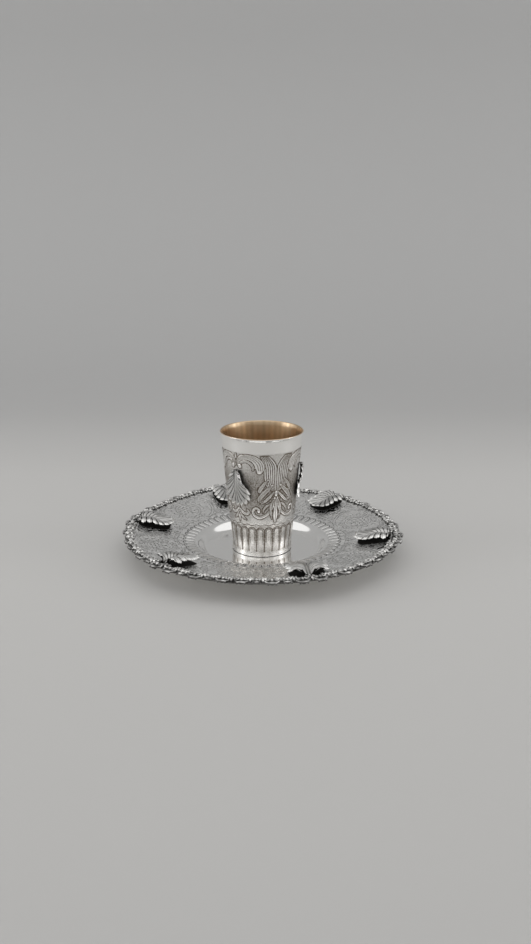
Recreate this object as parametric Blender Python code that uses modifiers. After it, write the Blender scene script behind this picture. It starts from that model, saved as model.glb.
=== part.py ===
"""Kiddush cup on its saucer.

A tapered silver beaker with a fluted foot, chased scrolls and three cast leaves stands in the well of a
round saucer, which has a fluted ring, a cast border and six cast leaves. Metres, +Z up. The origin is
on the table, under the middle of the saucer, and azimuth 0 is +X.
"""

import math

import bmesh
import bpy
from mathutils import Matrix, Vector

MM = 0.001
GAP = 0.3 * MM  # left between two pieces that touch

# Saucer: one pressed sheet with a low foot ring
SAUCER_COLUMNS = 120
SAUCER_TOP = ((0, 2.4), (39.2, 2.4), (44.0, 7.4), (46.4, 8.1), (53.4, 9.3), (54.4, 9.5), (88.1, 15.3))
SAUCER_UNDER = ((88.4, 14.6), (45.8, 6.9), (41.0, 2.1), (40.6, 0), (38.4, 0), (38.0, 1.3), (0, 1.3))
FLUTE_SPAN = (46 * MM, 54 * MM)  # the radii between which the saucer's flutes lie
FLUTE_RISE = 0.35 * MM
WELL_TOP = 7.5 * MM  # nothing below this height is fluted

# The saucer is bent up a little at one place of its rim, behind the cup
BEND_AZIMUTH = math.radians(110)
BEND_HALF = math.radians(38)
BEND_SPAN = (45.8 * MM, 88.1 * MM)  # the radii between which it rises
BEND_RISE = 2.6 * MM

# Border: a cast ring of scrolls that closes round the saucer's edge
BORDER_COLUMNS = 120
BORDER_SIDES = 5
BORDER_INNER = 88.8 * MM
BORDER_OUTER = 94.6 * MM
BORDER_SWELL = 1.5 * MM  # how much further it reaches at a leaf, and falls short between two
BORDER_SWELLS = 6
BORDER_START = math.radians(-11)  # azimuth of one swelling
BORDER_LOBES = 30
LOBE_REACH = 1.1 * MM
LOBE_RISE = 0.9 * MM
BORDER_BOTTOM = 14.0 * MM
BORDER_TOP = 17.3 * MM

# Cup: heights are above its own foot
CUP_SEAT = 2.4 * MM + GAP
CUP_COLUMNS = 72
BORE_COLUMNS = 36
CUP_FOOT = ((18.6, 0), (20.4, 0), (20.6, 1.3))
CUP_WALL = ((19.8, 3.5), (21.1, 19.6), (21.5, 21.2), (22.6, 24.8), (27.2, 79.2), (28.1, 82.4), (27.8, 83))
CUP_BORE = (
    (28.4, 84), (27.4, 83), (26.4, 79.6), (21.6, 24.6), (20.3, 19), (19, 3.6), (17.6, 2.2), (0, 2.2)
)
CUP_UNDER = ((18.3, 1.2), (0, 1.2))
BASE_RADIUS = 19 * MM  # everything outside it is the wall
TONGUES = 24
TONGUE_GROOVE = math.radians(5)  # azimuth of one groove between two tongues
TONGUE_RISE = 0.45 * MM
TONGUE_FOOT = 3 * MM
TONGUE_SPRING = 15 * MM  # where the arch of its head starts
TONGUE_HEAD = 21 * MM

# Chased scrolls, laid out in three bays between the cup's leaves. Across a bay, 0 is its middle and
# 1 is the leaf on either side; the second number is the height in millimetres.
RIB_HEIGHT = 0.5 * MM
RIB_SUNK = 0.15 * MM
CUP_LEAF_AZIMUTHS = (230, 356, 473)
UPPER_SCROLL = (
    (0.37, 61.5), (0.29, 62.4), (0.26, 65.5), (0.32, 69), (0.43, 70.5), (0.76, 70.4), (0.90, 69),
    (0.95, 65.5), (0.90, 62.6), (0.82, 63), (0.81, 66),
)
LOWER_SCROLL = (
    (0.05, 41), (0.09, 36), (0.20, 31.5), (0.38, 29), (0.50, 31), (0.52, 34), (0.46, 36), (0.40, 34.2),
)
STALK = ((0.03, 44.5), (0.03, 56), (0.07, 64), (0.17, 71.5))
UPPER_LOBE = ((0.09, 56.5), (0.22, 53.5), (0.38, 50.2))
LOWER_LOBE = ((0.09, 48.5), (0.24, 46.8), (0.39, 43.4))

# Cast leaves. Their breadths and arches are shares of the most, from root to tip and from stem to edge.
LEAF_THICKNESS = 0.9 * MM
LEAF_CELLS_ACROSS = 4
LEAF_CELLS_ALONG = 10
LEAF_ARCH = ((0, 0), (0.5, 1), (1, 0.85))
LEAF_NOTCH = 0.17  # how deep the edge is cut between two lobes
SAUCER_LEAF_BREADTHS = ((0, 0.13), (0.1, 1), (0.6, 1), (0.8, 0.9), (0.9, 0.72), (1, 0.13))
SAUCER_LEAF_LENGTH = 24.5 * MM
SAUCER_LEAF_HALF_WIDTH = 10.6 * MM
SAUCER_LEAF_LIFT = 2.8 * MM
SAUCER_LEAF_ARCH = 2.6 * MM
SAUCER_LEAF_ROOT = 88.0 * MM  # radius of its root
FLAT = 1  # metres: a leaf bent round so large a radius lies flat
# Each saucer leaf: its azimuth, how far it turns from pointing straight at the middle, and how broad it is
SAUCER_LEAVES = ((-11, 0, 1), (50, -12, 1), (111, 0, 1), (169, 8, 1), (227, 0, 1), (289, -14, 1.25))
CUP_LEAF_BREADTHS = (
    (0, 0.13), (0.1, 0.38), (0.3, 0.52), (0.4, 0.68), (0.5, 0.9), (0.6, 1), (0.7, 1), (0.9, 0.78), (1, 0.13)
)
CUP_LEAF_TOP = 61 * MM
CUP_LEAF_BOTTOM = 36.5 * MM
CUP_LEAF_HALF_WIDTH = 11.2 * MM
CUP_LEAF_LIFT = 0.5 * MM
CUP_LEAF_ARCH = 1.2 * MM


def clear_scene():
    for old in list(bpy.data.objects):
        bpy.data.objects.remove(old)


def new_collection(name, parent):
    made = bpy.data.collections.new(name)
    parent.children.link(made)
    return made


def silver(name, brightness, roughness):
    material = bpy.data.materials.new(name)
    material.use_nodes = True
    shader = material.node_tree.nodes["Principled BSDF"]
    shader.inputs["Base Color"].default_value = (brightness, brightness, brightness * 0.97, 1)
    shader.inputs["Metallic"].default_value = 1
    shader.inputs["Roughness"].default_value = roughness
    return material


def placed(name, mesh, material, collection, parent=None):
    """A new object of this mesh, which gets the material if it has none."""
    made = bpy.data.objects.new(name, mesh)
    collection.objects.link(made)
    made.parent = parent
    if not mesh.materials:
        mesh.materials.append(material)
    return made


def empty(name, location, collection):
    made = bpy.data.objects.new(name, None)
    made.location = location
    collection.objects.link(made)
    return made


def evaluated_mesh(source):
    """The mesh that an object shows, with its loose caps welded. The object itself is removed."""
    graph = bpy.context.evaluated_depsgraph_get()
    mesh = bpy.data.meshes.new_from_object(source.evaluated_get(graph))
    mesh.name = source.name
    shape = bmesh.new()
    shape.from_mesh(mesh)
    bmesh.ops.remove_doubles(shape, verts=shape.verts, dist=0.001 * MM)
    shape.to_mesh(mesh)
    shape.free()
    bpy.data.objects.remove(source)
    return mesh


def turned_mesh(name, profile, columns, collection):
    """A closed body turned round Z from a profile of (radius, height) in mm, down its outer side."""
    line = bpy.data.meshes.new(name)
    corners = [(radius * MM, 0, height * MM) for radius, height in profile]
    line.from_pydata(corners, [(i, i + 1) for i in range(len(corners) - 1)], [])
    source = placed(name, line, None, collection)
    screw = source.modifiers.new("turn", "SCREW")
    screw.steps = columns
    screw.render_steps = columns
    screw.use_merge_vertices = True
    screw.merge_threshold = 0.001 * MM
    bpy.context.view_layer.update()
    return evaluated_mesh(source)


def between(table, value):
    """The other coordinate at this value of a table of pairs, by straight lines between its rows."""
    for (low, start), (high, end) in zip(table, table[1:]):
        if value <= high:
            return start + (end - start) * (value - low) / (high - low)
    return table[-1][1]


def cup_radius(height):
    return MM * between([(level, radius) for radius, level in CUP_WALL], height / MM)


def smooth(share):
    """0 to 1 along an S-shaped curve."""
    share = min(max(share, 0), 1)
    return share * share * (3 - 2 * share)


def shade_smooth(mesh, sharp_degrees):
    mesh.shade_smooth()
    mesh.set_sharp_from_angle(angle=math.radians(sharp_degrees))


def tongue_rise(azimuth, height):
    """24 round-headed tongues: each falls to a groove at its sides, and its head is an arch."""
    phase = ((azimuth - TONGUE_GROOVE) * TONGUES / (2 * math.pi)) % 1
    fullness = math.sin(math.pi * phase)
    arch = TONGUE_HEAD - (TONGUE_HEAD - TONGUE_SPRING) * (1 - fullness) ** 2
    inside = TONGUE_FOOT < height < arch and fullness > 0.01
    return TONGUE_RISE * fullness**0.5 if inside else 0


def flute_rise(azimuth, radius):
    """Every second column of the saucer stands up, which makes 60 flutes."""
    column = round(azimuth / (2 * math.pi) * SAUCER_COLUMNS)
    inner, outer = FLUTE_SPAN
    return FLUTE_RISE * (column % 2) if inner < radius < outer else 0


def bent_up(azimuth, radius):
    """How far the saucer is bent up here: most at the rim, and less to either side."""
    inner, outer = BEND_SPAN
    share = min(max((radius - inner) / (outer - inner), 0), 1)
    aside = abs(math.remainder(azimuth - BEND_AZIMUTH, 2 * math.pi)) / BEND_HALF
    return BEND_RISE * share * smooth(1 - aside)


def scroll_ribs(collection):
    """The chased scrolls as ridges. They are drawn flat, then bent round the cup's wall."""
    curve = bpy.data.curves.new("scroll_ribs", "CURVE")
    curve.dimensions = "3D"
    curve.twist_mode = "Z_UP"
    curve.bevel_depth = RIB_HEIGHT + RIB_SUNK
    curve.bevel_resolution = 0
    curve.use_fill_caps = True
    drawn = (UPPER_SCROLL, LOWER_SCROLL, STALK, UPPER_LOBE, LOWER_LOBE)
    nominal = cup_radius(50 * MM)
    ends = CUP_LEAF_AZIMUTHS + (CUP_LEAF_AZIMUTHS[0] + 360,)
    for start, end in zip(ends, ends[1:]):
        middle, half = math.radians((start + end) / 2), math.radians((end - start) / 2)
        for side in (-1, 1):
            for points in drawn:
                spline = curve.splines.new("POLY")
                spline.points.add(len(points) - 1)
                for point, (across, height) in zip(spline.points, points):
                    point.co = ((middle + side * half * across) * nominal, height * MM, -RIB_SUNK, 1)
                spline.points[0].radius = spline.points[-1].radius = 0.6
    source = bpy.data.objects.new("scroll_ribs", curve)
    collection.objects.link(source)
    bpy.context.view_layer.update()
    mesh = evaluated_mesh(source)
    for vertex in mesh.vertices:
        azimuth, height = vertex.co.x / nominal, vertex.co.y
        radius = cup_radius(height) + vertex.co.z
        vertex.co = (radius * math.cos(azimuth), radius * math.sin(azimuth), height)
    shape = bmesh.new()
    shape.from_mesh(mesh)
    bmesh.ops.recalc_face_normals(shape, faces=shape.faces)
    shape.to_mesh(mesh)
    shape.free()
    return mesh


def helper(name, mesh, collection, parent):
    made = placed(name, mesh, None, collection, parent)
    made.hide_render = True
    made.display_type = "WIRE"
    return made


def boolean(target, operation, other):
    step = target.modifiers.new(other.name, "BOOLEAN")
    step.operation = operation
    step.object = other
    step.solver = "EXACT"


def make_cup(collection, helpers, material):
    seat = empty("cup_seat", (0, 0, CUP_SEAT), collection)
    outside = ((0, 83),) + CUP_WALL[::-1] + CUP_FOOT[::-1] + CUP_UNDER
    mesh = turned_mesh("cup_beaker", outside, CUP_COLUMNS, helpers)
    turn = TONGUE_GROOVE % (2 * math.pi / CUP_COLUMNS)
    mesh.transform(Matrix.Rotation(turn, 4, "Z"))
    for vertex in mesh.vertices:
        radius = math.hypot(vertex.co.x, vertex.co.y)
        if radius < BASE_RADIUS:
            continue
        grown = 1 + tongue_rise(math.atan2(vertex.co.y, vertex.co.x), vertex.co.z) / radius
        vertex.co.x *= grown
        vertex.co.y *= grown
    shade_smooth(mesh, 30)
    cup = placed("cup_beaker", mesh, material, collection, seat)
    bore = turned_mesh("cup_bore", ((0, 84),) + CUP_BORE, BORE_COLUMNS, helpers)
    boolean(cup, "UNION", helper("scroll_ribs", scroll_ribs(helpers), helpers, seat))
    boolean(cup, "DIFFERENCE", helper("cup_bore", bore, helpers, seat))
    return seat


def make_saucer(collection, helpers, material):
    mesh = turned_mesh("saucer_plate", SAUCER_TOP + SAUCER_UNDER, SAUCER_COLUMNS, helpers)
    for vertex in mesh.vertices:
        radius = math.hypot(vertex.co.x, vertex.co.y)
        azimuth = math.atan2(vertex.co.y, vertex.co.x)
        if vertex.co.z > WELL_TOP:
            vertex.co.z += flute_rise(azimuth, radius)
        vertex.co.z += bent_up(azimuth, radius)
    shade_smooth(mesh, 30)
    return placed("saucer_plate", mesh, material, collection)


def make_border(collection, material):
    """A torus whose section follows the border: it swells at each leaf and has a lobe for each scroll."""
    bpy.ops.mesh.primitive_torus_add(
        major_segments=BORDER_COLUMNS, minor_segments=BORDER_SIDES, major_radius=1, minor_radius=0.1
    )
    made = bpy.context.object
    made.name = made.data.name = "saucer_border"
    for held in list(made.users_collection):
        held.objects.unlink(made)
    collection.objects.link(made)
    made.data.materials.append(material)
    for vertex in made.data.vertices:
        from_leaf = math.atan2(vertex.co.y, vertex.co.x)
        out = (math.hypot(vertex.co.x, vertex.co.y) - 1) / 0.1
        up = vertex.co.z / 0.1
        lobe = abs(math.cos(BORDER_LOBES / 2 * from_leaf))
        outer = BORDER_OUTER + BORDER_SWELL * math.cos(BORDER_SWELLS * from_leaf) + LOBE_REACH * lobe
        top = BORDER_TOP + LOBE_RISE * lobe
        azimuth = from_leaf + BORDER_START
        radius = (BORDER_INNER + outer) / 2 + out * (outer - BORDER_INNER) / 2
        height = (BORDER_BOTTOM + top) / 2 + up * (top - BORDER_BOTTOM) / 2 + bent_up(azimuth, radius)
        vertex.co = (radius * math.cos(azimuth), radius * math.sin(azimuth), height)
    shade_smooth(made.data, 50)
    return made


def leaf_mesh(name, breadths, length, half_width, lift, arch, wrap_radius):
    """An acanthus leaf with its root at the origin, its tip towards +Y and its back up.

    Its edge follows breadths and is cut in between its lobes. It lifts off its root, each wing arches up
    beside the stem near the root and sinks towards the tip, and the whole bends round wrap_radius.
    """
    bpy.ops.mesh.primitive_grid_add(
        x_subdivisions=LEAF_CELLS_ACROSS, y_subdivisions=LEAF_CELLS_ALONG, size=2
    )
    source = bpy.context.object
    for vertex in source.data.vertices:
        across, along = vertex.co.x, (vertex.co.y + 1) / 2
        row = round(along * LEAF_CELLS_ALONG)
        breadth = between(breadths, along)
        if row % 2 == 0 and abs(across) > 0.9:
            breadth *= 1 - LEAF_NOTCH
        x = across * breadth * half_width
        raised = smooth(along / 0.12) * (1 - 0.75 * smooth((along - 0.1) / 0.6))
        height = GAP + LEAF_THICKNESS / 2 + lift * smooth(along / 0.45)
        height += arch * raised * between(LEAF_ARCH, abs(across))
        sag = wrap_radius - math.sqrt(wrap_radius**2 - x**2)
        vertex.co = (x, along * length, height - sag)
    wall = source.modifiers.new("thickness", "SOLIDIFY")
    wall.thickness = LEAF_THICKNESS
    wall.offset = 0
    bpy.context.view_layer.update()
    mesh = evaluated_mesh(source)
    mesh.name = name
    shade_smooth(mesh, 40)
    return mesh


def leaf_place(azimuth, start, end, facing):
    """The matrix that lays a leaf from start to end, both (radius, height), with its back towards facing."""
    outward = Vector((math.cos(azimuth), math.sin(azimuth), 0))
    root = outward * start[0] + Vector((0, 0, start[1]))
    tip = outward * end[0] + Vector((0, 0, end[1]))
    along = (tip - root).normalized()
    sideways = along.cross(facing).normalized()
    back = sideways.cross(along)
    matrix = Matrix((sideways, along, back)).transposed().to_4x4()
    matrix.translation = root
    return matrix


def make_saucer_leaves(collection, material):
    """Six leaves stand over the saucer, held by their roots at the border, tips towards the cup."""
    slope = [(radius * MM, height * MM) for radius, height in SAUCER_TOP]
    radii = (SAUCER_LEAF_ROOT, SAUCER_LEAF_ROOT - SAUCER_LEAF_LENGTH)
    for index, (degrees, lean, breadth) in enumerate(SAUCER_LEAVES):
        azimuth = math.radians(degrees)
        mesh = leaf_mesh(
            "saucer_leaf", SAUCER_LEAF_BREADTHS, SAUCER_LEAF_LENGTH, SAUCER_LEAF_HALF_WIDTH * breadth,
            SAUCER_LEAF_LIFT, SAUCER_LEAF_ARCH, FLAT
        )
        root, tip = [(radius, between(slope, radius) + bent_up(azimuth, radius)) for radius in radii]
        leaf = placed(f"saucer_leaf_{index + 1}", mesh, material, collection)
        turned = Matrix.Rotation(math.radians(lean), 4, "Z")
        leaf.matrix_world = leaf_place(azimuth, root, tip, Vector((0, 0, 1))) @ turned


def make_cup_leaves(collection, material, seat):
    """Three leaves hang on the cup's wall by their stems, with their wings standing off it."""
    top = (cup_radius(CUP_LEAF_TOP), CUP_LEAF_TOP)
    bottom = (cup_radius(CUP_LEAF_BOTTOM), CUP_LEAF_BOTTOM)
    length = CUP_LEAF_TOP - CUP_LEAF_BOTTOM
    mesh = leaf_mesh(
        "cup_leaf", CUP_LEAF_BREADTHS, length, CUP_LEAF_HALF_WIDTH, CUP_LEAF_LIFT, CUP_LEAF_ARCH, top[0]
    )
    for index, degrees in enumerate(CUP_LEAF_AZIMUTHS):
        azimuth = math.radians(degrees)
        outward = Vector((math.cos(azimuth), math.sin(azimuth), 0))
        leaf = placed(f"cup_leaf_{index + 1}", mesh, material, collection, seat)
        leaf.matrix_local = leaf_place(azimuth, top, bottom, outward)


def main():
    clear_scene()
    root = bpy.context.scene.collection
    collection = new_collection("kiddush_cup", root)
    helpers = new_collection("cutters", root)
    polished = silver("polished_silver", 0.86, 0.16)
    chased = silver("chased_silver", 0.8, 0.28)
    cast = silver("cast_silver", 0.68, 0.34)
    seat = make_cup(collection, helpers, polished)
    make_cup_leaves(collection, cast, seat)
    make_saucer(collection, helpers, chased)
    make_border(collection, cast)
    make_saucer_leaves(collection, cast)


main()
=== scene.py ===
"""Silver kiddush cup in the well of its saucer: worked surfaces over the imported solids. Metres, +Z up."""

import math

import bpy
import numpy as np
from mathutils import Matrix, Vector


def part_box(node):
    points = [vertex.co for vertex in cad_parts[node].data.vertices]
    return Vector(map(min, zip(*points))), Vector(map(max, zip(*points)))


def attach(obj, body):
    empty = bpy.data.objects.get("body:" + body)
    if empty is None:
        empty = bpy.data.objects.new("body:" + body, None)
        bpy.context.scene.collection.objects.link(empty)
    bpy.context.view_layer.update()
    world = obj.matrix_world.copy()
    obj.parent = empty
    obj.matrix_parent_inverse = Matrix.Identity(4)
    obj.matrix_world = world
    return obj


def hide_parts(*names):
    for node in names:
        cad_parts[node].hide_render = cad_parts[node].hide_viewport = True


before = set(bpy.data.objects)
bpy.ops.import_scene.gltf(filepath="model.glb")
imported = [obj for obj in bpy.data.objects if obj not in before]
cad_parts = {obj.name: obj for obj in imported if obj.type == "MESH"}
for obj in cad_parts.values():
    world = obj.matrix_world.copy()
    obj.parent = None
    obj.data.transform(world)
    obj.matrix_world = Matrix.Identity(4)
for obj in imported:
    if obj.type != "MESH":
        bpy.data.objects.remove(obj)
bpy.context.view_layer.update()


# ---------------------------------------------------------------------------------------------------
# The saucer's plate
# One round of sheet silver pressed over a die: a flat well where the cup stands, a step, a ring of
# sixty short flutes, and a wide sloping field that is engraved with scrolls and fish-scale shields.

MM = 0.001
FIELD_COLUMNS = 960
PLAIN_COLUMNS = 240
WELL_FLOOR = 2.4 * MM
WELL_RADIUS = 39.2 * MM
STEP_TOP = 7.5 * MM
STEP_TOP_RADIUS = 44.4 * MM
FLUTES = 60
FLUTE_INNER = 45.6 * MM
FLUTE_SPRING = 51.6 * MM
FLUTE_OUTER = 54.4 * MM
FLUTE_RISE = 0.45 * MM
FLUTE_LINE_DEPTH = 0.4 * MM
ENGRAVED_WIDTH = 0.52 * MM
ENGRAVED_DEPTH = 0.3 * MM
CURLS_FROM = 57 * MM
DRAWN_RADIUS = 72 * MM  # where the flat drawing of the field keeps its true length
SHIELD_RADIUS = 72.5  # millimetres
# Each leaf's azimuth and how far it turns from pointing at the middle, in degrees, and its breadth.
SAUCER_LEAVES = ((-11, 0, 1), (50, -12, 1), (111, 0, 1), (169, 8, 1), (227, 0, 1), (289, -14, 1.25))
SAUCER_LEAF_LENGTH = 24.5 * MM
SAUCER_LEAF_HALF_WIDTH = 10.6 * MM
SAUCER_LEAF_ROOT = 88.0 * MM
BEND_AZIMUTH = math.radians(110)
BEND_HALF = math.radians(38)
BEND_SPAN = (45.8 * MM, 88.1 * MM)
BEND_RISE = 2.6 * MM

plate_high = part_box("saucer_plate")[1]
plate_edge = plate_high.x
plate_top = plate_high.z - BEND_RISE
bay = 2 * math.pi / len(SAUCER_LEAVES)
first_leaf = math.radians(SAUCER_LEAVES[0][0])


def smooth(share):
    """0 to 1 along an S-shaped curve, for shares from 0 to 1."""
    share = np.clip(share, 0, 1)
    return share * share * (3 - 2 * share)


def flow(points, steps=8):
    """A smooth line through these points: a cubic between each two, with slopes from their neighbours."""
    points = np.asarray(points, float)
    padded = np.vstack([2 * points[0] - points[1], points, 2 * points[-1] - points[-2]])
    share = np.linspace(0, 1, steps, endpoint=False)[:, None]
    spans = []
    for before, start, end, after in zip(padded, padded[1:], padded[2:], padded[3:]):
        spans.append(
            start
            + 0.5 * share * (end - before)
            + share**2 * (before - 2.5 * start + 2 * end - 0.5 * after)
            + share**3 * 0.5 * (3 * start - before - 3 * end + after)
        )
    return np.vstack([*spans, points[-1:]])


def volute(middle, outer, inner, start, sweep, steps=28):
    """A spiral about a middle whose radius shrinks evenly from outer to inner. Angles are in degrees."""
    share = np.linspace(0, 1, steps)
    angle = np.radians(start + sweep * share)
    radius = outer + (inner - outer) * share
    return np.stack([middle[0] + radius * np.cos(angle), middle[1] + radius * np.sin(angle)], -1)


def from_line(x, y, line, reach):
    """For each point within reach of a line: its distance, its side and its share along. Elsewhere the
    distance is a metre. It tries every straight run of the line and keeps the nearest."""
    distance = np.ones(x.shape)
    side = np.zeros(x.shape)
    along = np.zeros(x.shape)
    low, high = line.min(0) - reach, line.max(0) + reach
    near = (x > low[0]) & (x < high[0]) & (y > low[1]) & (y < high[1])
    if not near.any():
        return distance, side, along
    start, run = line[:-1], np.diff(line, axis=0)
    offset_x = x[near][:, None] - start[:, 0]
    offset_y = y[near][:, None] - start[:, 1]
    share = np.clip((offset_x * run[:, 0] + offset_y * run[:, 1]) / (run**2).sum(1), 0, 1)
    gap_x = offset_x - share * run[:, 0]
    gap_y = offset_y - share * run[:, 1]
    gaps = np.hypot(gap_x, gap_y)
    nearest = gaps.argmin(1)
    row = np.arange(len(nearest))
    distance[near] = gaps[row, nearest]
    crossed = run[nearest, 0] * gap_y[row, nearest] - run[nearest, 1] * gap_x[row, nearest]
    side[near] = np.sign(crossed)
    along[near] = (nearest + share[row, nearest]) / len(run)
    return distance, side, along


def engraved(x, y, lines, width):
    """How deep a set of engraved lines cuts, from 0 to 1: along each of them a rounded groove that reaches
    this width to either side, and thins towards the line's ends."""
    cut = np.zeros(x.shape)
    for line in lines:
        distance, _, along = from_line(x, y, line, width)
        taper = 0.45 + 0.55 * np.sin(math.pi * np.clip(along, 0.02, 0.98)) ** 0.5
        share = np.clip(distance / (width * taper), 0, 1)
        cut = np.maximum(cut, (1 - share**2) ** 2)
    return cut


def evenly(line, count):
    """A line cut into equal lengths."""
    steps = np.concatenate([[0], np.cumsum(np.linalg.norm(np.diff(line, axis=0), axis=1))])
    places = np.linspace(0, steps[-1], count)
    return np.stack([np.interp(places, steps, line[:, axis]) for axis in (0, 1)], -1)


def beside(line, gap):
    """The same line moved to its left by this gap."""
    ahead = np.gradient(line, axis=0)
    ahead /= np.linalg.norm(ahead, axis=1)[:, None]
    return line + gap * ahead[:, ::-1] * [-1, 1]


def springing(stem, count, size):
    """Curls that spring from a stem by turns on its left and its right, each a spiral of this size."""
    places = evenly(stem, count + 2)
    ahead = np.gradient(places, axis=0)
    found = []
    for number in range(1, count + 1):
        side = 1 - 2 * (number % 2)
        out = math.degrees(math.atan2(ahead[number, 1], ahead[number, 0])) + 75 * side
        toward = np.array([math.cos(math.radians(out)), math.sin(math.radians(out))])
        middle = places[number] + 1.1 * size * toward
        found.append(volute(middle, size, 0.22 * size, out + 180, 430 * side, 22))
    return found


def petal(aside, along, half, spring, gap):
    """How far a point lies inside a round-headed petal: a strip of this half width that ends in a half
    circle about the height of its spring, with a gap left round it."""
    return half - gap - np.hypot(aside, np.maximum(along - spring, 0))


def groove(distance, half_width):
    """1 in the middle of a line, falling to 0 some half widths away from it."""
    return np.exp(-((distance / half_width) ** 2))


def bent_up(azimuth, radius):
    """How far the saucer is bent up: in step with the radius, and less on both sides of one azimuth."""
    share = np.clip((radius - BEND_SPAN[0]) / (BEND_SPAN[1] - BEND_SPAN[0]), 0, 1)
    aside = np.abs((azimuth - BEND_AZIMUTH + math.pi) % (2 * math.pi) - math.pi) / BEND_HALF
    return BEND_RISE * share * smooth(1 - aside)


def bend_up(points):
    """Moves points up as far as the saucer is bent up there."""
    points[:, 2] += bent_up(np.arctan2(points[:, 1], points[:, 0]), np.hypot(points[:, 0], points[:, 1]))


def turned(radii, heights, columns):
    """Points of a surface turned round Z: one ring for each radius and height, which may be arrays."""
    azimuth = np.linspace(0, 2 * math.pi, columns, endpoint=False)
    radii = np.broadcast_to(radii, (len(radii), columns))
    heights = np.broadcast_to(heights, (len(heights), columns))
    return np.stack([radii * np.cos(azimuth), radii * np.sin(azimuth), heights], -1).reshape(-1, 3)


def turned_line(line, columns, foot=0.0):
    """The same for a plain line of points (radius, height above the foot)."""
    return turned(line[:, :1], line[:, 1:] + foot, columns)


def ring_faces(rows, columns, start):
    """Quads between neighbouring rings of a turned surface, closed round."""
    ring = np.arange(rows - 1)[:, None] * columns + start
    here = np.arange(columns)
    after = (here + 1) % columns
    corners = (ring + here, ring + columns + here, ring + columns + after, ring + after)
    return np.stack(corners, -1).reshape(-1, 4)


def graded_faces(coarse, ratio, first, second, opening):
    """Polygons between a ring of so many points and one with ratio times as many. opening says that the
    finer ring is the second of the two."""
    here = np.arange(coarse)
    after = (here + 1) % coarse
    fine = (here[:, None] * ratio + np.arange(ratio + 1)) % (coarse * ratio)
    if opening:
        return np.concatenate([(first + here)[:, None], second + fine, (first + after)[:, None]], 1)
    ends = np.stack([second + here, second + after], 1)
    return np.concatenate([first + fine[:, :1], ends, first + fine[:, :0:-1]], 1)


def pole_faces(columns, ring, pole, first):
    """Triangles from a ring to the point in its middle. first says that the ring comes after the pole."""
    here = np.arange(columns)
    after = (here + 1) % columns
    ends = (here, after) if first else (after, here)
    return np.stack([np.full(columns, pole), ring + ends[0], ring + ends[1]], -1)


def make_piece(name, points, faces, materials, hollow, indices=None):
    """A smooth-shaded object of these points and groups of faces, with its darkening (tarnish, painted
    shade and painted light) as the attribute hollow.
    """
    mesh = bpy.data.meshes.new(name)
    mesh.vertices.add(len(points))
    mesh.vertices.foreach_set("co", np.asarray(points, np.float32).ravel())
    corners = np.concatenate([group.ravel() for group in faces])
    sizes = np.concatenate([np.full(len(group), group.shape[1]) for group in faces])
    mesh.loops.add(len(corners))
    mesh.loops.foreach_set("vertex_index", corners.astype(np.int32))
    mesh.polygons.add(len(sizes))
    mesh.polygons.foreach_set("loop_start", (np.cumsum(sizes) - sizes).astype(np.int32))
    mesh.attributes.new("hollow", "FLOAT", "POINT").data.foreach_set("value", hollow.astype(np.float32))
    for material in materials:
        mesh.materials.append(material)
    if indices is not None:
        mesh.polygons.foreach_set("material_index", indices.astype(np.int32))
    mesh.update(calc_edges=True)
    mesh.shade_smooth()
    made = bpy.data.objects.new(name, mesh)
    bpy.context.scene.collection.objects.link(made)
    return made


def fill(tree, node, inputs):
    """Joins each of these inputs of a node to another node's output, or sets it to a plain value."""
    for name, value in inputs.items():
        if isinstance(value, bpy.types.NodeSocket):
            tree.links.new(value, node.inputs[name])
        else:
            node.inputs[name].default_value = value


def add_node(tree, kind, inputs, **settings):
    """A new node of this kind, with its settings made before its inputs are filled."""
    node = tree.nodes.new("ShaderNode" + kind)
    for name, value in settings.items():
        setattr(node, name, value)
    fill(tree, node, inputs)
    return node


def maths(tree, operation, *values):
    """The result of one operation on values, each a plain number or another node's output."""
    return add_node(tree, "Math", dict(enumerate(values)), operation=operation).outputs[0]


def noise(tree, place, scale, detail, **settings):
    """A noise over places, so many times a metre, or over whatever unit the places are in."""
    inputs = {"Vector": place, "Scale": scale, "Detail": detail}
    return add_node(tree, "TexNoise", inputs, **settings).outputs["Fac"]


def ramp(tree, value, start, end, low, high, **settings):
    """Goes from low to high while a value goes from start to end, and stays there on either side."""
    inputs = {"Value": value, "From Min": start, "From Max": end, "To Min": low, "To Max": high}
    return add_node(tree, "MapRange", inputs, **settings).outputs["Result"]


def mixed(tree, share, first, second):
    """A colour on the way from the first (0) to the second (1), each plain or another node's output."""
    inputs = {"Factor": share, "A": first, "B": second}
    return add_node(tree, "Mix", inputs, data_type="RGBA").outputs["Result"]


def curling_lines(tree, size, count):
    """Fine curling lines: so many level lines of a noise of this size over the first two numbers of the
    attribute drawing, in millimetres. Its third number says how strongly they show."""
    drawing = add_node(tree, "Attribute", {}, attribute_name="drawing").outputs["Vector"]
    levels = maths(tree, "MULTIPLY", noise(tree, drawing, 1 / size, 0.6, noise_dimensions="2D"), count)
    line = ramp(tree, maths(tree, "PINGPONG", levels, 0.5), 0, 0.2, 1, 0)
    return maths(tree, "MULTIPLY", line, add_node(tree, "SeparateXYZ", {0: drawing}).outputs["Z"])


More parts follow.
